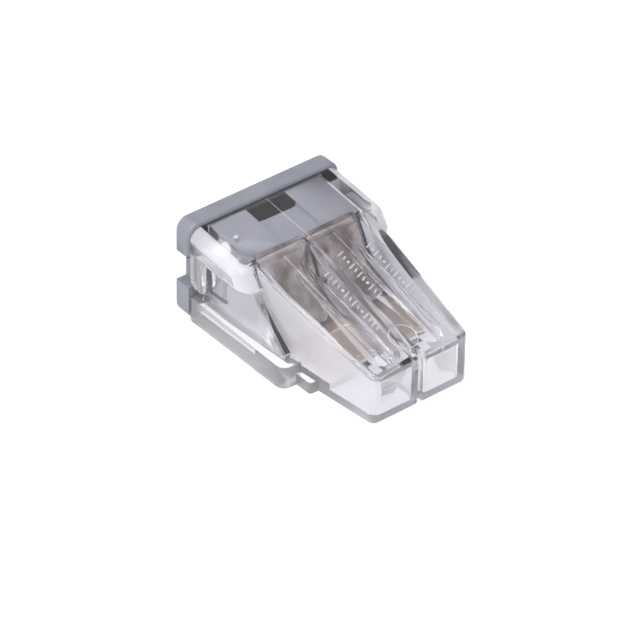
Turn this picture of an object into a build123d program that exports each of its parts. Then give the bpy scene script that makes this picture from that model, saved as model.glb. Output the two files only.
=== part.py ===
"""Two-conductor push-in junction-box connector, in millimetres.

A clear housing with a sloped two-finger nose is closed at the back by a grey entry cover. The cover
guides two stripped conductors onto a tinned copper busbar, where the clamping leaf of a stainless
steel spring presses each one down. X runs across the two conductors, +Y points out of the entry
face, +Z is up, and the origin is the centre of the base. Stations along the connector are given as
distances from the nose face, which at() turns into Y.
"""

import os
from math import cos, radians, sin

from build123d import *

# Driving dimensions
LENGTH = 19.9
WIDTH = 14.0
HEIGHT = 8.5
PITCH = 4.75

# Entry cover
FLANGE_THICKNESS = 1.6
FLANGE_WIDTH = 14.3
FLANGE_CORNER = 1.0
FLANGE_FRONT_RADIUS = 0.3
NOTCH_DEPTH = 0.9
NOTCH_LOW = 3.1
NOTCH_HIGH = 5.75
SLIP = 0.12
TOP_SLIP = 0.06
SLANT_SLIP = 0.17
ENTRY_RADIUS = 2.0
ENTRY_LENGTH = 0.6
GUIDE_RADIUS = 1.1
GUIDE_START = 16.0
GUIDE_END = 11.8
GUIDE_HEIGHT = 2.7
TEST_HALF_WIDTH = 1.1
TEST_LOW = 4.45
TEST_HIGH = 5.55
CHANNEL_HALF = 1.85
CHANNEL_DEPTH = 0.45
POCKET_START = 17.0
POCKET_LOW = 4.75
POCKET_TOP = 7.5
POCKET_END = 18.7
SLOT_HALF = 0.4
SLOT_LOW = 1.2
CHEEK_HALF = 4.72
CHEEK_END = 14.3
RAMP_FOOT_TOP = 3.45
RAMP_KNEE = (12.05, 3.7)
RAMP_TOP = (13.48, 6.15)
SEAT_FOOT = (13.45, 6.4)
SEAT_END = 13.91
LUG_REACH = 5.95
LUG_PEAK = 15.9
LUG_ROOT = 0.3
RIM_RADIUS = 0.2

# Housing, outside
SLOPE_LOW = 4.4
ROOF_START = 12.6
ROOF_LOW = 7.63
ROOF_HIGH = 8.2
NOSE_TIP_HALF = 4.5
NOSE_ROOT_HALF = 5.5
NOSE_TAPER_END = 10.0
CORE_HALF = 6.1
EAR_LOW = 5.85
SHELF_LOW = 1.9
SHELF_HIGH = 2.2
SHELF_START = 7.35
FINGER_GAP = 0.45
FINGER_GAP_DEPTH = 1.0
FINGER_RADIUS = 0.2
NOSE_EDGE_RADIUS = 0.4
NOSE_CORNER_RADIUS = 0.7
EAR_START = 11.3
EAR_TOP_RADIUS = 0.95
EAR_SIDE_RADIUS = 1.2
EAR_FRONT_RADIUS = 0.25
FOOT_CORNER = 0.8
CORE_FOOT = (8.3, 1.95)
CORE_KNEE = (11.45, 5.0)
CORE_TOP = (12.45, 6.83)

# Housing, inside
SIDE_WALL = 0.75
END_WALL = 0.6
SLOPE_WALL_TIP = 0.95
SLOPE_WALL_BACK = 0.75
ROOF_WALL = 0.4
REAR_FLOOR = 0.6
TIP_FLOOR = 0.6
TIP_FLOOR_END = 4.9
NOSE_FLOOR = 1.1
REAR_HALF = 5.3
CHAMBER_END = 13.9
CHAMBER_CORNER = 0.4
RECESS_FOOT = (8.95, 1.68)
RECESS_KNEE = (11.85, 4.6)
RECESS_TOP = 13.33
PLINTH_END = 11.45
RIB_START = 0.5
RIB_TIP_HALF = 0.55
RIB_ROOT_HALF = 0.2
RIB_END = 12.85
RIB_HEEL = 10.6
RIB_HEEL_TOP = 5.05
RIB_END_DROP = 0.35
GROOVE_RADIUS = 1.3
GROOVE_RISE = 0.55
GROOVE_FRONT = 2.3
GROOVE_BACK = 13.1
WINDOW_START = 15.05
WINDOW_END = 17.5
WINDOW_LOW = 2.9
WINDOW_HIGH = 5.5
WINDOW_CORNER = 0.2
TAB_START = 16.4
TAB_CORNER = 0.7
TAB_LOW = 3.2
TAB_HIGH = EAR_LOW + TAB_CORNER + 0.05
STEP_START = 5.8
STEP_HALF = 5.65
STEP_HEIGHT = 1.0
STEP_OVERLAP = 0.5
STEP_CORNER = 0.3

# Busbar
BAR_HALF = 4.05
BAR_THICKNESS = 0.5
BAR_START = 5.2
BAR_END = 11.2
BAR_CORNER = 0.35
BAR_EDGE_RADIUS = 0.12
RIDGE_STATION = 8.6
RIDGE_RADIUS = 0.22
RIDGE_SINK = 0.1
RIDGE_INSET = 0.5

# Clamping springs
STRIP = 0.3
SPRING_GAP = 0.3
SPRING_WIDTH = 4.45
UPPER_LEAN = 30.0
LOWER_LEAN = 45.0
PIVOT_STATION = 13.3
PIVOT_HEIGHT = 6.5
STUB_LENGTH = 1.0
STRIP_TOP = 7.2
UPPER_LEAF = 3.0
LOWER_LEAF = 2.94
TONGUE_WIDTH = 3.3
SEAT_GAP = 0.02
KNEE_RADIUS = 1.5
TONGUE_CORNER = 0.5

FLANGE_START = LENGTH - FLANGE_THICKNESS
SLOPE_RISE = (ROOF_LOW - SLOPE_LOW) / ROOF_START
ROOF_RISE = (ROOF_HIGH - ROOF_LOW) / (FLANGE_START - ROOF_START)
NOSE_TAPER = (NOSE_ROOT_HALF - NOSE_TIP_HALF) / NOSE_TAPER_END
SIDES = (("left", -1), ("right", 1))
# Tolerances for picking edges and faces by their place.
TOUCH = 0.01
NEAR = 0.1


def at(station):
    """Y of a point that lies this far behind the nose face."""
    return station - LENGTH / 2


def side(points):
    """Corners in the side view, from (station, height) pairs."""
    return [(at(station), height) for station, height in points]


def roof_inside(station):
    """Height of the inside of the roof at this station."""
    return ROOF_HIGH - ROOF_WALL - (FLANGE_START - station) * ROOF_RISE


def plan(points):
    """Corners in plan, mirrored about the middle, from (half width, station) pairs."""
    right = [(half, at(station)) for half, station in points]
    left = [(-half, y) for half, y in reversed(right)]
    return right + left


# Outline of the nose: a wedge that tapers in plan and slopes down to the tip.
nose_side = [
    (0, 0),
    (0, SLOPE_LOW),
    (ROOF_START, ROOF_LOW),
    (FLANGE_START, ROOF_HIGH),
    (FLANGE_START, 0),
]
nose_plan = [
    (NOSE_TIP_HALF, 0),
    (NOSE_ROOT_HALF, NOSE_TAPER_END),
    (NOSE_ROOT_HALF, FLANGE_START),
]
with BuildPart() as nose_form:
    with BuildSketch(Plane.XY):
        Polygon(*plan(nose_plan), align=None)
    extrude(amount=HEIGHT)
    with BuildSketch(Plane.YZ):
        Polygon(*side(nose_side), align=None)
    extrude(amount=WIDTH, both=True, mode=Mode.INTERSECT)
    front = nose_form.faces().sort_by(Axis.Y)[0]
    fillet(front.edges().filter_by(Axis.Z), radius=NOSE_CORNER_RADIUS)
    sides = nose_form.edges().filter_by(lambda edge: abs(edge.center().X) > NOSE_TIP_HALF - NEAR)
    long_edges = sides.filter_by(lambda edge: edge.center().Y < at(ROOF_START))
    low_edges = long_edges.filter_by(lambda edge: edge.center().Z < TOUCH)
    slope_edges = long_edges.filter_by(lambda edge: edge.center().Z > SLOPE_LOW)
    fillet(slope_edges + low_edges, radius=NOSE_EDGE_RADIUS)
    with BuildSketch(Plane.XY):
        with Locations((0, at(FINGER_GAP_DEPTH / 2))):
            Rectangle(FINGER_GAP, FINGER_GAP_DEPTH)
    extrude(amount=HEIGHT, mode=Mode.SUBTRACT)
    gap_edges = nose_form.edges().filter_by(Axis.Z).sort_by(Axis.Y)
    fillet(gap_edges.filter_by(lambda edge: abs(edge.center().X) < FINGER_GAP)[:2], radius=FINGER_RADIUS)

# Upper block: the roof and the two ears that overhang the side recesses.
ear_side = [
    (EAR_START, EAR_LOW),
    (ROOF_START, ROOF_LOW),
    (FLANGE_START, ROOF_HIGH),
    (FLANGE_START, EAR_LOW),
]
with BuildPart() as upper_form:
    with BuildSketch(Plane.YZ):
        Polygon(*side(ear_side), align=None)
    extrude(amount=WIDTH / 2, both=True)
    outer_edges = upper_form.edges().filter_by(lambda edge: abs(edge.center().X) > WIDTH / 2 - TOUCH)
    fillet(outer_edges.sort_by(Axis.Y)[:2], radius=EAR_SIDE_RADIUS)
    outer_edges = upper_form.edges().filter_by(lambda edge: abs(edge.center().X) > WIDTH / 2 - TOUCH)
    fillet(outer_edges.sort_by(Axis.Z)[-2:], radius=EAR_TOP_RADIUS)
    front_low = upper_form.edges().filter_by(Axis.X).group_by(Axis.Y)[0]
    fillet(front_low, radius=EAR_FRONT_RADIUS)

# Lower block: the foot on each side of the core.
foot_side = [
    (SHELF_START, 0),
    (SHELF_START, SHELF_LOW),
    (FLANGE_START, SHELF_HIGH),
    (FLANGE_START, 0),
]
with BuildPart() as lower_form:
    with BuildSketch(Plane.YZ):
        Polygon(*side(foot_side), align=None)
    extrude(amount=WIDTH / 2, both=True)
    fillet(lower_form.edges().filter_by(Axis.Z).group_by(Axis.Y)[0], radius=FOOT_CORNER)

# Core: the full-height body behind the slanted step where the springs stand.
core_side = [
    (CORE_FOOT[0], 0),
    CORE_FOOT,
    CORE_KNEE,
    CORE_TOP,
    (FLANGE_START, CORE_TOP[1]),
    (FLANGE_START, 0),
]

# Space inside the nose: two chambers, one for each conductor, with a rib between them.
chamber_low = SLOPE_LOW + END_WALL * SLOPE_RISE - SLOPE_WALL_TIP
chamber_high = ROOF_LOW - SLOPE_WALL_BACK
ceiling_rise = (chamber_high - chamber_low) / (ROOF_START - END_WALL)
nose_cavity_side = [
    (END_WALL, TIP_FLOOR),
    (END_WALL, chamber_low),
    (ROOF_START, chamber_high),
    (CHAMBER_END, chamber_high),
    (CHAMBER_END, NOSE_FLOOR),
    (TIP_FLOOR_END, NOSE_FLOOR),
    (TIP_FLOOR_END, TIP_FLOOR),
]
# The heel of the rib is cut back to let the leaves swing.
rib_side = [
    (RIB_START, 0),
    (RIB_START, HEIGHT),
    (RIB_END, HEIGHT),
    (RIB_END, chamber_high - RIB_END_DROP),
    (RIB_HEEL, RIB_HEEL_TOP),
    (RIB_HEEL, 0),
]
nose_cavity_plan = [
    (NOSE_TIP_HALF - SIDE_WALL + END_WALL * NOSE_TAPER, END_WALL),
    (NOSE_ROOT_HALF - SIDE_WALL, NOSE_TAPER_END),
    (NOSE_ROOT_HALF - SIDE_WALL, CHAMBER_END),
]
# The rib is thickest at the tip.
with BuildPart() as rib:
    with BuildSketch(Plane.XY):
        Polygon(*plan([(RIB_TIP_HALF, RIB_START), (RIB_ROOT_HALF, RIB_END)]), align=None)
    extrude(amount=HEIGHT)
    with BuildSketch(Plane.YZ):
        Polygon(*side(rib_side), align=None)
    extrude(amount=WIDTH, both=True, mode=Mode.INTERSECT)
with BuildPart() as nose_cavity:
    with BuildSketch(Plane.XY):
        Polygon(*plan(nose_cavity_plan), align=None)
    extrude(amount=HEIGHT)
    with BuildSketch(Plane.YZ):
        Polygon(*side(nose_cavity_side), align=None)
    extrude(amount=WIDTH, both=True, mode=Mode.INTERSECT)
    add(rib.part, mode=Mode.SUBTRACT)
    tip_corners = nose_cavity.edges().filter_by(Axis.Z).group_by(Axis.Y)[0]
    fillet(tip_corners, radius=CHAMBER_CORNER)
    # Room under the rib for the busbar.
    with BuildSketch(Plane.XY.offset(NOSE_FLOOR)):
        with Locations((0, at((BAR_START + RIB_HEEL) / 2))):
            Rectangle(2 * RIB_TIP_HALF, RIB_HEEL - BAR_START + 2 * SLIP)
    extrude(amount=BAR_THICKNESS + SLIP)

# Space behind the slanted step: it takes the cover's insert and the springs.
rear_cavity_side = [
    (FLANGE_START, REAR_FLOOR),
    (PLINTH_END, REAR_FLOOR),
    (PLINTH_END, NOSE_FLOOR),
    (RECESS_FOOT[0], NOSE_FLOOR),
    RECESS_FOOT,
    RECESS_KNEE,
    (RECESS_TOP, roof_inside(RECESS_TOP)),
    (FLANGE_START, roof_inside(FLANGE_START)),
]

# Half-round grooves in the ceilings of the chambers: round at the tip, and running out to a point at
# the back, where the groove's axis has dropped a full radius below the ceiling.
groove_front_z = chamber_low + (GROOVE_FRONT - END_WALL) * ceiling_rise + GROOVE_RISE - GROOVE_RADIUS
groove_back_z = chamber_high + (GROOVE_BACK - ROOF_START) * ceiling_rise - GROOVE_RADIUS
groove_rise = (groove_back_z - groove_front_z) / (GROOVE_BACK - GROOVE_FRONT)
groove_length = (GROOVE_BACK - GROOVE_FRONT) * (1 + groove_rise**2) ** 0.5
with BuildPart() as grooves:
    for x in (-PITCH / 2, PITCH / 2):
        start = Plane(origin=(x, at(GROOVE_FRONT), groove_front_z), x_dir=(1, 0, 0), z_dir=(0, 1, groove_rise))
        with Locations(start):
            Sphere(GROOVE_RADIUS)
            Cylinder(GROOVE_RADIUS, groove_length, align=(Align.CENTER, Align.CENTER, Align.MIN))

with BuildPart() as housing:
    add(nose_form.part)
    add(upper_form.part)
    add(lower_form.part)
    with BuildSketch(Plane.YZ):
        Polygon(*side(core_side), align=None)
    extrude(amount=CORE_HALF, both=True)
    # A low step on each side where the nose meets the foot.
    with BuildSketch(Plane.XY):
        step_length = SHELF_START + STEP_OVERLAP - STEP_START
        with Locations((0, at(STEP_START + step_length / 2))):
            RectangleRounded(2 * STEP_HALF, step_length, STEP_CORNER)
    extrude(amount=STEP_HEIGHT)
    # The tab that hangs from each ear over the latch window.
    for _, sign in SIDES:
        with BuildSketch(Plane.YZ.offset(sign * (CORE_HALF + WIDTH / 2) / 2)):
            with Locations((at((TAB_START + FLANGE_START) / 2), (TAB_LOW + TAB_HIGH) / 2)):
                RectangleRounded(FLANGE_START - TAB_START, TAB_HIGH - TAB_LOW, TAB_CORNER)
        extrude(amount=(WIDTH / 2 - CORE_HALF) / 2, both=True)
    add(nose_cavity.part, mode=Mode.SUBTRACT)
    add(grooves.part, mode=Mode.SUBTRACT)
    with BuildSketch(Plane.YZ):
        Polygon(*side(rear_cavity_side), align=None)
    extrude(amount=REAR_HALF, both=True, mode=Mode.SUBTRACT)
    with BuildSketch(Plane.YZ):
        with Locations((at((WINDOW_START + WINDOW_END) / 2), (WINDOW_LOW + WINDOW_HIGH) / 2)):
            RectangleRounded(WINDOW_END - WINDOW_START, WINDOW_HIGH - WINDOW_LOW, WINDOW_CORNER)
    extrude(amount=CORE_HALF, both=True, mode=Mode.SUBTRACT)
housing.part.label = "housing"

# Entry cover: the flange, and the insert that fills the back of the housing.
insert_half = REAR_HALF - SLIP
insert_low = REAR_FLOOR + SLIP
insert_top = roof_inside(FLANGE_START) - TOP_SLIP
seat_top = roof_inside(SEAT_END) - TOP_SLIP
# The front of the insert backs the springs: a ramp behind each leaf and a seat behind each root.
insert_side = [
    (FLANGE_START, insert_low),
    (GUIDE_END, insert_low),
    (GUIDE_END, RAMP_FOOT_TOP),
    RAMP_KNEE,
    RAMP_TOP,
    SEAT_FOOT,
    (SEAT_END, seat_top),
    (FLANGE_START, insert_top),
]
# The cheeks follow the slanted step of the housing, a slip clear of it.
cheek_side = [
    (CHEEK_END, insert_low),
    (PLINTH_END + SLIP, insert_low),
    (PLINTH_END + SLIP, NOSE_FLOOR + SLIP),
    (RECESS_FOOT[0] + SLANT_SLIP, NOSE_FLOOR + SLIP),
    (RECESS_FOOT[0] + SLANT_SLIP, RECESS_FOOT[1]),
    (RECESS_KNEE[0] + SLANT_SLIP, RECESS_KNEE[1]),
    (RECESS_TOP + SLANT_SLIP, roof_inside(RECESS_TOP) - TOP_SLIP),
    (CHEEK_END, roof_inside(CHEEK_END) - TOP_SLIP),
]
channel_side = [
    (RECESS_TOP, roof_inside(RECESS_TOP) - TOP_SLIP - CHANNEL_DEPTH),
    (POCKET_START, roof_inside(POCKET_START) - TOP_SLIP - CHANNEL_DEPTH),
    (POCKET_START, HEIGHT),
    (RECESS_TOP, HEIGHT),
]
with BuildPart() as entry_cover:
    with BuildSketch(Plane.XZ.offset(-at(FLANGE_START))):
        with Locations((0, HEIGHT / 2)):
            RectangleRounded(FLANGE_WIDTH, HEIGHT, FLANGE_CORNER)
        notch_middle = (NOTCH_LOW + NOTCH_HIGH) / 2
        with Locations((-FLANGE_WIDTH / 2, notch_middle), (FLANGE_WIDTH / 2, notch_middle)):
            Rectangle(2 * NOTCH_DEPTH, NOTCH_HIGH - NOTCH_LOW, mode=Mode.SUBTRACT)
    extrude(amount=-FLANGE_THICKNESS)
    flange_front = entry_cover.faces().sort_by(Axis.Y)[0].edges()
    fillet(flange_front.filter_by(lambda edge: edge.center().Z > NOTCH_HIGH + SLIP), radius=FLANGE_FRONT_RADIUS)
    fillet(entry_cover.faces().sort_by(Axis.Y)[-1].edges(), radius=RIM_RADIUS)
    with BuildSketch(Plane.YZ):
        Polygon(*side(insert_side), align=None)
    extrude(amount=insert_half, both=True)
    for _, sign in SIDES:
        with BuildSketch(Plane.YZ.offset(sign * (CHEEK_HALF + insert_half) / 2)):
            Polygon(*side(cheek_side), align=None)
        extrude(amount=(insert_half - CHEEK_HALF) / 2, both=True)
    # Snap lugs, ramped on the side that enters first.
    lug_plan = [
        (insert_half - LUG_ROOT, WINDOW_START + SLIP),
        (insert_half, WINDOW_START + SLIP),
        (LUG_REACH, LUG_PEAK),
        (LUG_REACH, WINDOW_END - SLIP),
        (insert_half - LUG_ROOT, WINDOW_END - SLIP),
    ]
    with BuildSketch(Plane.XY.offset(WINDOW_LOW + SLIP)):
        Polygon(*plan(lug_plan), align=None)
    extrude(amount=WINDOW_HIGH - WINDOW_LOW - 2 * SLIP)
    with BuildSketch(Plane.YZ):
        Polygon(*side(channel_side), align=None)
    extrude(amount=CHANNEL_HALF, both=True, mode=Mode.SUBTRACT)
    # Test opening through the flange, and the deep pocket that it leads to.
    with BuildSketch(Plane.XZ.offset(-at(POCKET_START))):
        with Locations((0, (TEST_LOW + TEST_HIGH) / 2)):
            Rectangle(2 * TEST_HALF_WIDTH, TEST_HIGH - TEST_LOW)
    extrude(amount=-(LENGTH - POCKET_START), mode=Mode.SUBTRACT)
    with BuildSketch(Plane.XZ.offset(-at(POCKET_START))):
        with Locations((0, (POCKET_LOW + HEIGHT) / 2)):
            Rectangle(2 * CHANNEL_HALF, HEIGHT - POCKET_LOW)
        with Locations((0, (SLOT_LOW + POCKET_LOW) / 2)):
            Rectangle(2 * SLOT_HALF, POCKET_LOW - SLOT_LOW)
    extrude(amount=-(FLANGE_START - POCKET_START), mode=Mode.SUBTRACT)
    # The pocket reaches into the flange.
    with BuildSketch(Plane.XZ.offset(-at(FLANGE_START))):
        with Locations((0, (POCKET_LOW + POCKET_TOP) / 2)):
            Rectangle(2 * CHANNEL_HALF, POCKET_TOP - POCKET_LOW)
    extrude(amount=-(POCKET_END - FLANGE_START), mode=Mode.SUBTRACT)
    # Conductor entries: a short bore, a funnel and a long guide.
    guide_centres = [(-PITCH / 2, GUIDE_HEIGHT), (PITCH / 2, GUIDE_HEIGHT)]
    with BuildSketch(Plane.XZ.offset(-at(LENGTH))):
        with Locations(*guide_centres):
            Circle(ENTRY_RADIUS)
    extrude(amount=ENTRY_LENGTH, mode=Mode.SUBTRACT)
    for x, height in guide_centres:
        with BuildSketch(Plane.XZ.offset(-at(LENGTH - ENTRY_LENGTH))):
            with Locations((x, height)):
                Circle(ENTRY_RADIUS)
        with BuildSketch(Plane.XZ.offset(-at(GUIDE_START))):
            with Locations((x, height)):
                Circle(GUIDE_RADIUS)
        loft(mode=Mode.SUBTRACT)
    with BuildSketch(Plane.XZ.offset(-at(GUIDE_START))):
        with Locations(*guide_centres):
            Circle(GUIDE_RADIUS)
    extrude(amount=GUIDE_START - GUIDE_END + 1, mode=Mode.SUBTRACT)
entry_cover.part.label = "entry_cover"

# Busbar: one flat strip under both conductors, with a small contact ridge across it.
with BuildPart() as busbar:
    with BuildSketch(Plane.XY.offset(NOSE_FLOOR)):
        with Locations((0, at((BAR_START + BAR_END) / 2))):
            RectangleRounded(2 * BAR_HALF, BAR_END - BAR_START, BAR_CORNER)
    extrude(amount=BAR_THICKNESS)
    fillet(busbar.faces().sort_by(Axis.Z)[-1].edges(), radius=BAR_EDGE_RADIUS)
    with BuildSketch(Plane.YZ):
        with Locations((at(RIDGE_STATION), NOSE_FLOOR + BAR_THICKNESS - RIDGE_SINK)):
            Circle(RIDGE_RADIUS)
    extrude(amount=BAR_HALF - RIDGE_INSET, both=True)
busbar.part.label = "busbar"

# Springs: the root of each strip is clamped between the insert and the roof, and the leaf below it bends.
upper_lean = radians(UPPER_LEAN)
lower_lean = radians(LOWER_LEAN)
pivot = (at(PIVOT_STATION), PIVOT_HEIGHT)
stub_top = (
    pivot[0] + STUB_LENGTH * sin(upper_lean),
    pivot[1] + STUB_LENGTH * cos(upper_lean),
)
knee = (
    pivot[0] - UPPER_LEAF * sin(upper_lean),
    pivot[1] - UPPER_LEAF * cos(upper_lean),
)
tip = (
    knee[0] - LOWER_LEAF * sin(lower_lean),
    knee[1] - LOWER_LEAF * cos(lower_lean),
)
springs = []
for name, sign in SIDES:
    middle = sign * (SPRING_GAP + SPRING_WIDTH) / 2
    with BuildPart() as spring:
        with BuildSketch(Plane.YZ.offset(middle)):
            with BuildLine():
                Line(pivot, stub_top)
            trace(line_width=STRIP)
            with Locations(pivot):
                Circle(STRIP / 2 + SEAT_GAP, mode=Mode.SUBTRACT)
            with Locations((pivot[0], STRIP_TOP)):
                Rectangle(4 * STRIP + STUB_LENGTH, STRIP, align=(Align.CENTER, Align.MIN), mode=Mode.SUBTRACT)
        extrude(amount=SPRING_WIDTH / 2, both=True)
    spring.part.label = f"{name}_spring"
    springs.append(spring.part)

    with BuildPart() as leaf:
        with BuildSketch(Plane.YZ.offset(middle)):
            with BuildLine():
                FilletPolyline(pivot, knee, tip, radius=KNEE_RADIUS)
            trace(line_width=STRIP)
            with Locations(pivot):
                Circle(STRIP / 2)
        extrude(amount=SPRING_WIDTH / 2, both=True)
        # Below the knee the leaf narrows to its tongue.
        with BuildSketch(Plane.XY):
            trim = (SPRING_WIDTH - TONGUE_WIDTH) / 2
            edge_middle = (SPRING_WIDTH - trim) / 2
            with Locations((middle - edge_middle, tip[0]), (middle + edge_middle, tip[0])):
                Rectangle(trim, 2 * (knee[0] - tip[0]))
        extrude(amount=knee[1], mode=Mode.SUBTRACT)
        tongue_edges = leaf.edges().filter_by(lambda edge: edge.center().Y < tip[0] + 2 * NEAR)
        corners = tongue_edges.filter_by(lambda edge: abs(edge.length - STRIP) < TOUCH)
        fillet(corners, radius=TONGUE_CORNER)
    leaf.part.label = f"{name}_clamping_leaf"
    springs.append(leaf.part)

os.makedirs("parts", exist_ok=True)
for piece in [housing.part, entry_cover.part, busbar.part, *springs]:
    export_step(piece, f"parts/{piece.label}.step")
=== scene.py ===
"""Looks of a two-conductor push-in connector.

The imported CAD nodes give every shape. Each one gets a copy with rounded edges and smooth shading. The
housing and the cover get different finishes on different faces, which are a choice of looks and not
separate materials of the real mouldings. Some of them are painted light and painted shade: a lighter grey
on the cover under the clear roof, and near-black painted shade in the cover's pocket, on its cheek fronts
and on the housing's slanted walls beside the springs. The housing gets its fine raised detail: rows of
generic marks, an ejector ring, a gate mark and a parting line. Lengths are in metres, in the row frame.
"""

from math import cos, pi, radians, sin

import bmesh
import bpy
from mathutils import Matrix, Vector


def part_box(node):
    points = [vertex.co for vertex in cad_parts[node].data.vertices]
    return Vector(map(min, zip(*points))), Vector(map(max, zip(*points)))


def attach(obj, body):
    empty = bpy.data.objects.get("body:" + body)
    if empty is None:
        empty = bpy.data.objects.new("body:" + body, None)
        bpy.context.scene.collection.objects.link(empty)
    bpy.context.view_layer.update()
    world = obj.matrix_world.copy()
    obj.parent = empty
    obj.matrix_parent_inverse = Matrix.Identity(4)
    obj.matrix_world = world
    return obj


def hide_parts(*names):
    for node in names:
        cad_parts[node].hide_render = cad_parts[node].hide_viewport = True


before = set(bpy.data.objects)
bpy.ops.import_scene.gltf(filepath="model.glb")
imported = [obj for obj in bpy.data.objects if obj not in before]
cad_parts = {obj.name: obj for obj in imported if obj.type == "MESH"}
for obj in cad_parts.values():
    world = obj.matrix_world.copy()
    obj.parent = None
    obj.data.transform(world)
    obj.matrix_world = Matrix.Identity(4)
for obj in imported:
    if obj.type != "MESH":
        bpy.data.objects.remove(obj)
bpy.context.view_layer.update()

MM = 0.001
WELD = 1e-7
FACES_ALONG = 0.9
FACES_MOSTLY = 0.5
FACES_PARTLY = 0.4
SHARP = radians(30)
FLAT = radians(0.5)
LEAST_SHARE = 0.2
ROOM_PER_WIDTH = 3
BODY = "connector"

housing_low, housing_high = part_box("housing")
NOSE = housing_low.y
SLOPE_START = 4.4 * MM


# Shader helpers

def new_material(name):
    """A material, its node tree and its principled shader."""
    material = bpy.data.materials.new(name)
    material.use_nodes = True
    tree = material.node_tree
    return material, tree, tree.nodes["Principled BSDF"]


def noise(tree, scale, detail=2.0, stretch=(1, 1, 1)):
    """Noise in object space; scale is in cells per metre."""
    place = tree.nodes.new("ShaderNodeTexCoord")
    mapping = tree.nodes.new("ShaderNodeMapping")
    mapping.inputs["Scale"].default_value = stretch
    texture = tree.nodes.new("ShaderNodeTexNoise")
    texture.inputs["Scale"].default_value = scale
    texture.inputs["Detail"].default_value = detail
    tree.links.new(place.outputs["Object"], mapping.inputs["Vector"])
    tree.links.new(mapping.outputs["Vector"], texture.inputs["Vector"])
    return texture.outputs["Fac"]


def blend_colours(tree, factor, first, second, socket):
    """Drives a colour socket from the first colour to the second."""
    ramp = tree.nodes.new("ShaderNodeValToRGB")
    ramp.color_ramp.elements[0].position = 0.35
    ramp.color_ramp.elements[0].color = (*first, 1)
    ramp.color_ramp.elements[1].position = 0.65
    ramp.color_ramp.elements[1].color = (*second, 1)
    tree.links.new(factor, ramp.inputs["Fac"])
    tree.links.new(ramp.outputs["Color"], socket)


def spread(tree, factor, low, high, socket):
    """Drives a number socket between low and high."""
    span = tree.nodes.new("ShaderNodeMapRange")
    span.inputs["From Min"].default_value = 0.3
    span.inputs["From Max"].default_value = 0.7
    span.inputs["To Min"].default_value = low
    span.inputs["To Max"].default_value = high
    tree.links.new(factor, span.inputs["Value"])
    tree.links.new(span.outputs["Result"], socket)


def add_bump(tree, shader, height, depth, strength=1.0):
    """Bumps of the given depth, in metres."""
    bump = tree.nodes.new("ShaderNodeBump")
    bump.inputs["Distance"].default_value = depth
    bump.inputs["Strength"].default_value = strength
    tree.links.new(height, bump.inputs["Height"])
    tree.links.new(bump.outputs["Normal"], shader.inputs["Normal"])


# Materials

def clear_plastic(name, clearness):
    """Clear moulding: a faint lilac tint, slight waviness and soft haze."""
    material, tree, shader = new_material(name)
    shader.inputs["Transmission Weight"].default_value = clearness
    shader.inputs["IOR"].default_value = 1.5
    tint = noise(tree, 300)
    blend_colours(tree, tint, (0.96, 0.95, 0.99), (0.985, 0.975, 1.0), shader.inputs["Base Color"])
    spread(tree, noise(tree, 700), 0.01, 0.04, shader.inputs["Roughness"])
    add_bump(tree, shader, noise(tree, 900, 3), 0.000008)
    return material


def frosted_plastic():
    """The same clear moulding where the mould was left matt."""
    material, tree, shader = new_material("frosted_plastic")
    shader.inputs["Transmission Weight"].default_value = 0.6
    shader.inputs["IOR"].default_value = 1.5
    tint = noise(tree, 300)
    blend_colours(tree, tint, (0.91, 0.90, 0.95), (0.95, 0.94, 0.98), shader.inputs["Base Color"])
    spread(tree, noise(tree, 700), 0.28, 0.4, shader.inputs["Roughness"])
    add_bump(tree, shader, noise(tree, 2000, 3), 0.00001)
    return material


def grey_plastic(name, dark, light):
    """Grey moulding with a fine satin surface."""
    material, tree, shader = new_material(name)
    shader.inputs["IOR"].default_value = 1.5
    blend_colours(tree, noise(tree, 500, 3), dark, light, shader.inputs["Base Color"])
    spread(tree, noise(tree, 2500), 0.38, 0.5, shader.inputs["Roughness"])
    add_bump(tree, shader, noise(tree, 9000, 3), 0.000006)
    return material


def rolled_metal(name, dark, light, rough, grain):
    """Rolled strip with fine lines along the direction of rolling."""
    material, tree, shader = new_material(name)
    shader.inputs["Metallic"].default_value = 1.0
    lines = noise(tree, 900, 3, grain)
    blend_colours(tree, noise(tree, 450, 3), dark, light, shader.inputs["Base Color"])
    spread(tree, lines, rough, rough + 0.12, shader.inputs["Roughness"])
    add_bump(tree, shader, lines, 0.000004)
    return material


MATERIALS = {
    "clear_plastic": clear_plastic("clear_plastic", 0.985),
    "hazy_plastic": clear_plastic("hazy_plastic", 0.82),
    "frosted_plastic": frosted_plastic(),
    "grey_plastic": grey_plastic("grey_plastic", (0.19, 0.20, 0.23), (0.215, 0.225, 0.255)),
    # Painted light: a lighter copy of the grey moulding for the cover faces under the clear roof, making up
    # for the light the roof holds back.
    "grey_plastic_painted_light": grey_plastic("grey_plastic_painted_light", (0.38, 0.40, 0.44), (0.42, 0.44, 0.48)),
    # Painted shade: near-black grey for the cover's pocket and cheek fronts and for the housing's slanted
    # walls.
    "grey_plastic_painted_shade": grey_plastic("grey_plastic_painted_shade", (0.004, 0.004, 0.005), (0.008, 0.008, 0.01)),
    "spring_steel": rolled_metal("spring_steel", (0.27, 0.22, 0.18), (0.95, 0.90, 0.84), 0.16, (6, 1, 1)),
    "tinned_copper": rolled_metal("tinned_copper", (0.60, 0.52, 0.44), (0.70, 0.63, 0.55), 0.28, (1, 6, 1)),
}


# Pieces

def add_piece(mesh, name, slot, body, finish=None):
    """Puts a mesh in the scene under its body, with the material named by finish, or by slot when there is
    no finish.
    """
    piece = bpy.data.objects.new(name, mesh)
    bpy.context.scene.collection.objects.link(piece)
    mesh.materials.clear()
    mesh.materials.append(MATERIALS[finish or slot])
    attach(piece, body)
    return piece


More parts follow.
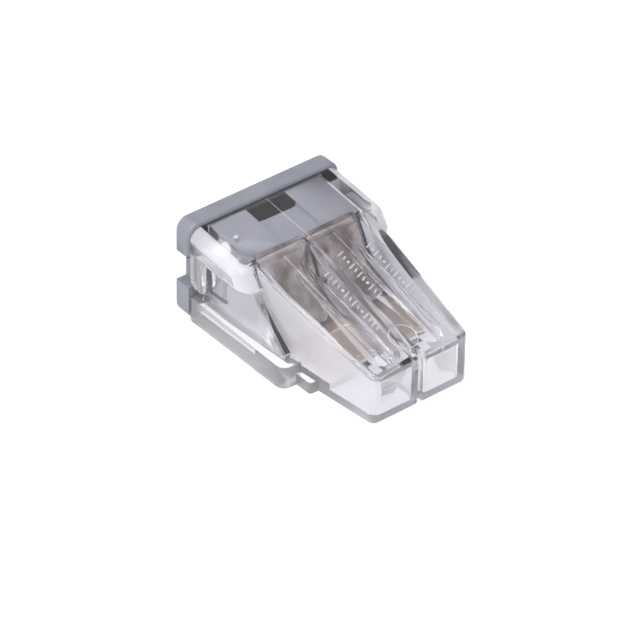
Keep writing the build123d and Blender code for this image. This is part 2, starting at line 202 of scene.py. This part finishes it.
def weigh_edges(form, edge_width):
    """Marks the sharp edges for rounding, by less where their neighbours are short."""
    weights = form.edges.layers.float.new("bevel_weight_edge")
    for edge in form.edges:
        if len(edge.link_faces) != 2 or edge.calc_face_angle() < SHARP:
            continue
        neighbours = [other for vert in edge.verts for other in vert.link_edges]
        room = min(other.calc_length() for other in neighbours)
        share = min(1, room / (ROOM_PER_WIDTH * edge_width))
        edge[weights] = share if share > LEAST_SHARE else 0


def dressed(node, name, slot, body, edge):
    """A copy of a CAD node with merged flats and rounded edges, shown in the node's place."""
    form = bmesh.new()
    form.from_mesh(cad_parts[node].data)
    bmesh.ops.remove_doubles(form, verts=form.verts, dist=WELD)
    bmesh.ops.dissolve_limit(form, angle_limit=FLAT, verts=form.verts, edges=form.edges)
    weigh_edges(form, edge)
    for face in form.faces:
        face.smooth = True
    mesh = bpy.data.meshes.new(name)
    form.to_mesh(mesh)
    form.free()
    piece = add_piece(mesh, name, slot, body)
    rounding = piece.modifiers.new("rounding", "BEVEL")
    rounding.width = edge
    rounding.segments = 2
    rounding.limit_method = "WEIGHT"
    rounding.use_clamp_overlap = False
    rounded = bpy.data.meshes.new_from_object(piece.evaluated_get(bpy.context.evaluated_depsgraph_get()))
    piece.modifiers.clear()
    # Nothing may pass the box of the CAD node.
    low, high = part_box(node)
    for vert in rounded.vertices:
        vert.co = [min(max(value, least), most) for value, least, most in zip(vert.co, low, high)]
    piece.data = rounded
    normals = piece.modifiers.new("normals", "WEIGHTED_NORMAL")
    normals.keep_sharp = True
    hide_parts(node)
    return piece


def finish_housing(piece):
    """Leaves the slope and the roof clear, and makes the sides hazy and the matt faces frosted.

    The matt faces are the inner side walls of the nose, the ears and the back rim. The slanted walls
    beside the springs carry near-black painted shade for their dark outline, though the real ones are
    clear.
    """
    # The third index, dark, is the near-black painted shade on the slanted walls.
    hazy, frosted, dark = 1, 2, 3
    nose_side_out = 3 * MM
    slant_out, slant_end = 4.7 * MM, NOSE + 13.4 * MM
    piece.data.materials.append(MATERIALS["hazy_plastic"])
    piece.data.materials.append(MATERIALS["frosted_plastic"])
    piece.data.materials.append(MATERIALS["grey_plastic_painted_shade"])
    nose_end = NOSE + 12.5 * MM
    rim_start = housing_high.y - 0.1 * MM
    ear_low = 5.8 * MM
    ear_inner = 5.6 * MM
    for face in piece.data.polygons:
        out = abs(face.center.x)
        faces_inward = face.normal.x * face.center.x < -FACES_MOSTLY * out
        inner_side = faces_inward and face.center.y < nose_end and out > nose_side_out
        ear = out > ear_inner and face.center.z > ear_low and not faces_inward
        rim = face.normal.y > FACES_ALONG and face.center.y > rim_start
        slanted = face.normal.y > FACES_MOSTLY and face.normal.z < -FACES_PARTLY
        if inner_side or ear or rim:
            face.material_index = frosted
        # Painted shade: the slanted walls beside the springs get the near-black grey.
        elif slanted and out > slant_out and face.center.y < slant_end:
            face.material_index = dark
        elif abs(face.normal.z) < FACES_MOSTLY or face.center.z < SLOPE_START / 2:
            face.material_index = hazy


def finish_cover(piece):
    """Shades the cover with painted light and painted shade: a lighter grey on the faces within the
    housing, painted light that makes up for the light the clear roof holds back, and near-black painted
    shade in the sunken pocket and on the cheek fronts.
    """
    painted_light_index, painted_shade_index = 1, 2
    piece.data.materials.append(MATERIALS["grey_plastic_painted_light"])
    piece.data.materials.append(MATERIALS["grey_plastic_painted_shade"])
    front, back = NOSE + 16.98 * MM, NOSE + 18.75 * MM
    half, slot_half = 1.86 * MM, 0.45 * MM
    low, top = 4.4 * MM, 7.5 * MM
    cheek_inner, cheek_end = 4.6 * MM, NOSE + 14.4 * MM
    insert_back = housing_high.y - 0.05 * MM
    form = bmesh.new()
    form.from_mesh(piece.data)
    whole = form.verts[:] + form.edges[:] + form.faces[:]
    bmesh.ops.bisect_plane(form, geom=whole, plane_co=(0, front, 0), plane_no=(0, 1, 0))
    for face in form.faces:
        middle = face.calc_center_median()
        out = abs(middle.x)
        in_width = out < half if middle.z > low else out < slot_half
        in_pocket = front < middle.y < back and in_width and middle.z < top
        cheek_front = face.normal.y < -FACES_MOSTLY and out > cheek_inner and middle.y < cheek_end
        # Painted shade: near-black on the pocket walls and the cheek fronts.
        if in_pocket or cheek_front:
            face.material_index = painted_shade_index
        # Painted light: a lighter grey on the cover faces under the clear roof.
        elif middle.y < insert_back:
            face.material_index = painted_light_index
    form.to_mesh(piece.data)
    form.free()


housing = dressed("housing", "clear_housing", "clear_plastic", BODY, 0.07 * MM)
finish_housing(housing)
cover = dressed("entry_cover", "grey_cover", "grey_plastic", BODY, 0.05 * MM)
finish_cover(cover)
dressed("busbar", "contact_busbar", "tinned_copper", BODY, 0.03 * MM)
for side in ("left", "right"):
    dressed(f"{side}_spring", f"{side}_spring_root", "spring_steel", BODY, 0.02 * MM)
    dressed(f"{side}_clamping_leaf", f"{side}_spring_leaf", "spring_steel", f"{side}_leaf", 0.02 * MM)


# Raised marks on the outside of the housing. Each is a bead that follows a line on the surface.

ROOF_EDGE = NOSE + 12.6 * MM
ROOF_EDGE_HEIGHT = 7.63 * MM
SLOPE_RISE = (ROOF_EDGE_HEIGHT - SLOPE_START) / (ROOF_EDGE - NOSE)
ROOF_RISE = (housing_high.z - ROOF_EDGE_HEIGHT) / (housing_high.y - ROOF_EDGE)
BEAD_SIDES = 8
BEAD_TAPER = 0.45


def on_top(x, y):
    """The point of the slope or the roof at this place in plan."""
    rise = SLOPE_RISE if y < ROOF_EDGE else ROOF_RISE
    return Vector((x, y, ROOF_EDGE_HEIGHT + (y - ROOF_EDGE) * rise))


def bead(form, points, radius, closed=False):
    """A round bead along points, tapered at its ends when it is open."""
    count = len(points)
    rings = []
    for i, point in enumerate(points):
        before = points[i - 1] if i > 0 or closed else point
        after = points[(i + 1) % count] if i < count - 1 or closed else point
        along = (after - before).normalized()
        across = along.cross(Vector((0, 0, 1))).normalized()
        over = across.cross(along)
        size = radius if closed or 0 < i < count - 1 else radius * BEAD_TAPER
        ring = []
        for k in range(BEAD_SIDES):
            turn = 2 * pi * k / BEAD_SIDES
            ring.append(form.verts.new(point + (across * cos(turn) + over * sin(turn)) * size))
        rings.append(ring)
    for i in range(count if closed else count - 1):
        first, second = rings[i], rings[(i + 1) % count]
        for k in range(BEAD_SIDES):
            k_next = (k + 1) % BEAD_SIDES
            form.faces.new((first[k], first[k_next], second[k_next], second[k]))
    if not closed:
        form.faces.new(reversed(rings[0]))
        form.faces.new(rings[-1])


def ring_points(x, y, radius, count):
    """Points of a circle drawn on the top surface."""
    turns = [2 * pi * i / count for i in range(count)]
    return [on_top(x + radius * cos(turn), y + radius * sin(turn)) for turn in turns]


def bar_points(x, y, half_x, half_y):
    """Points of a short straight stroke drawn on the top surface."""
    shares = (-1, -0.85, 0, 0.85, 1)
    return [on_top(x + half_x * share, y + half_y * share) for share in shares]


def bead_piece(name, lines):
    """One piece from beads given as (points, radius, closed)."""
    form = bmesh.new()
    for points, radius, closed in lines:
        bead(form, points, radius, closed)
    bmesh.ops.recalc_face_normals(form, faces=form.faces)
    for face in form.faces:
        face.smooth = True
    mesh = bpy.data.meshes.new(name)
    form.to_mesh(mesh)
    form.free()
    return add_piece(mesh, name, "clear_plastic", BODY, "frosted_plastic")


# Rows of (x, first station, last station) in millimetres: slanted ticks and small dots in turn.
MARK_ROWS = ((-1.2, 3.6, 10.2), (0.9, 6.0, 11.0), (3.3, 5.2, 10.8))
MARK_PITCH = 0.45 * MM
MARK_HALF = 0.34 * MM
MARK_SLANT = 0.1 * MM
MARK_BEAD = 0.07 * MM
DOT_RADIUS = 0.06 * MM
mark_lines = []
for row, (x, first, last) in enumerate(MARK_ROWS):
    for step in range(int((last - first) * MM / MARK_PITCH)):
        y = NOSE + first * MM + step * MARK_PITCH
        kind = (step + row) % 5
        if kind == 4:
            mark_lines.append((ring_points(x * MM, y, DOT_RADIUS, 10), MARK_BEAD, True))
        else:
            half = MARK_HALF if kind % 2 else MARK_HALF / 2
            mark_lines.append((bar_points(x * MM, y, half, MARK_SLANT), MARK_BEAD, False))
bead_piece("raised_marks", mark_lines)
bead_piece("ejector_ring", [(ring_points(-0.05 * MM, NOSE + 2.1 * MM, 1.1 * MM, 48), 0.03 * MM, True)])
bead_piece("gate_mark", [(ring_points(-4.6 * MM, NOSE + 15.9 * MM, 0.1 * MM, 12), 0.11 * MM, True)])
seam = [on_top(0, ROOF_EDGE + 0.1 * MM), on_top(0, housing_high.y - 0.1 * MM)]
bead_piece("parting_line", [(seam, 0.04 * MM, False)])


# Stage

FLOOR_HALF = 0.2
floor_form = bmesh.new()
bmesh.ops.create_grid(floor_form, x_segments=1, y_segments=1, size=FLOOR_HALF)
floor_mesh = bpy.data.meshes.new("floor")
floor_form.to_mesh(floor_mesh)
floor_form.free()
floor = bpy.data.objects.new("floor", floor_mesh)
floor.location.z = -0.02 * MM
bpy.context.scene.collection.objects.link(floor)
floor_material, floor_tree, floor_shader = new_material("floor")
floor_shader.inputs["Base Color"].default_value = (0.35, 0.35, 0.36, 1)
floor_shader.inputs["Roughness"].default_value = 0.9
floor_shader.inputs["Specular IOR Level"].default_value = 0.0
floor_shader.inputs["Emission Color"].default_value = (1, 1, 1, 1)
floor_shader.inputs["Emission Strength"].default_value = 0.75
floor_mesh.materials.append(floor_material)


def area_light(name, place, size, power):
    """A square softbox aimed at the object."""
    data = bpy.data.lights.new(name, "AREA")
    data.shape = "RECTANGLE"
    data.size, data.size_y = size
    data.energy = power
    light = bpy.data.objects.new(name, data)
    light.location = place
    light.rotation_euler = (-Vector(place)).to_track_quat("-Z", "Y").to_euler()
    bpy.context.scene.collection.objects.link(light)


area_light("overhead_softbox", (-0.18, 0.02, 0.4), (0.4, 0.4), 2.8)
area_light("left_softbox", (-0.35, -0.2, 0.2), (0.2, 0.2), 0.2)

world = bpy.data.worlds.new("studio")
bpy.context.scene.world = world
world.use_nodes = True
sky = world.node_tree
direction = sky.nodes.new("ShaderNodeTexCoord")
parts = sky.nodes.new("ShaderNodeSeparateXYZ")
shade = sky.nodes.new("ShaderNodeValToRGB")
shade.color_ramp.elements[0].position = 0.02
shade.color_ramp.elements[0].color = (1.3, 1.24, 1.52, 1)
shade.color_ramp.elements[1].position = 0.5
shade.color_ramp.elements[1].color = (0.42, 0.41, 0.44, 1)
for height, level in ((0.13, 0.58), (0.3, 0.34)):
    band = shade.color_ramp.elements.new(height)
    band.color = (level, level * 0.97, level, 1)
sky.links.new(direction.outputs["Generated"], parts.inputs["Vector"])
sky.links.new(parts.outputs["Z"], shade.inputs["Fac"])
sky.links.new(shade.outputs["Color"], sky.nodes["Background"].inputs["Color"])

# Camera at the reference viewing angle

AZIMUTH = radians(-39.806)
ELEVATION = radians(36.812)
ROLL = radians(1.170)
DISTANCE = 364.188 * MM
MIDDLE = Vector((0, 0.05, 4)) * MM
AIM_LEFT = 1.07 * MM
AIM_DOWN = 1.807 * MM

back = Vector((sin(AZIMUTH) * cos(ELEVATION), -cos(AZIMUTH) * cos(ELEVATION), sin(ELEVATION)))
level_right = Vector((cos(AZIMUTH), sin(AZIMUTH), 0))
level_up = back.cross(level_right)
right = level_right * cos(ROLL) + level_up * sin(ROLL)
up = level_up * cos(ROLL) - level_right * sin(ROLL)
camera_data = bpy.data.cameras.new("camera")
camera_data.sensor_width = 36
camera_data.lens = 278.3
camera_data.clip_start = 0.01
camera_data.clip_end = 5
camera = bpy.data.objects.new("camera", camera_data)
turn = Matrix((right, up, back)).transposed()
aim = MIDDLE - right * AIM_LEFT - up * AIM_DOWN
camera.matrix_world = Matrix.Translation(aim + back * DISTANCE) @ turn.to_4x4()
bpy.context.scene.collection.objects.link(camera)
bpy.context.scene.camera = camera
bpy.context.scene.view_settings.view_transform = "Standard"
